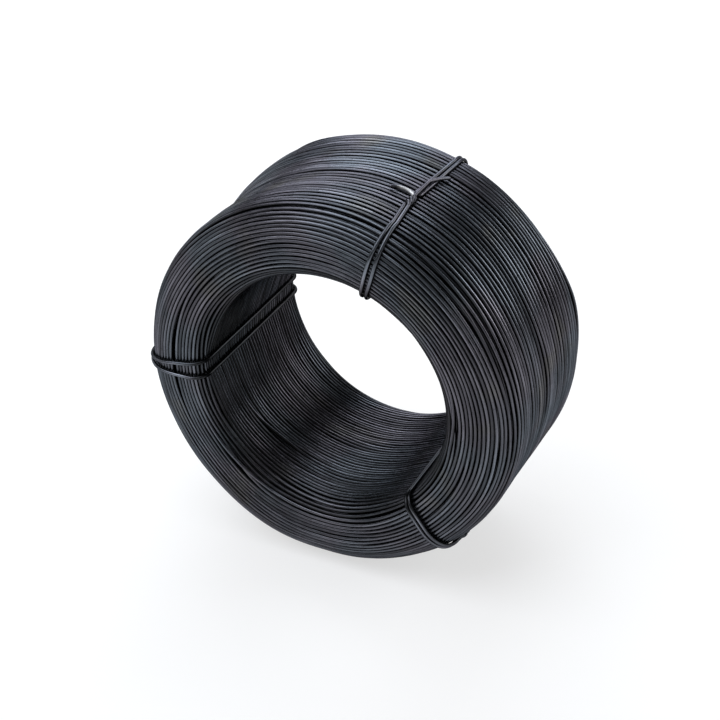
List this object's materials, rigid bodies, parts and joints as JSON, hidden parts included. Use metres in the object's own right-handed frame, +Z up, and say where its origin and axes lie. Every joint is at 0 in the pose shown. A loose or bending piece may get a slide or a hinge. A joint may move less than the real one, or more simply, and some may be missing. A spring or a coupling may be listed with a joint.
{
  "type": "coil of binding wire",
  "caption": "Ring-shaped coil of soft black binding wire, close turns round an open bore, held by folded tie wires twisted on the rim; stock for tying bars and bundles.",
  "frame": {"origin": "middle of the bore, on the coil's axis", "axes": "+Y along the coil's axis, from the front end to the back end; +Z up; +X to the right seen from the front. The coil stands on its rim at z = -54 mm."},
  "size_m": [0.1101, 0.0592, 0.1089],
  "materials": {
    "coil_wire": "black annealed oxide, satin",
    "tie_wire": "black annealed oxide, satin, worn brighter"
  },
  "bodies": {
    "root": {"wire_coil": "coil_wire", "tie_top": "tie_wire", "tie_left": "tie_wire", "tie_right": "tie_wire"}
  },
  "joints": []
}
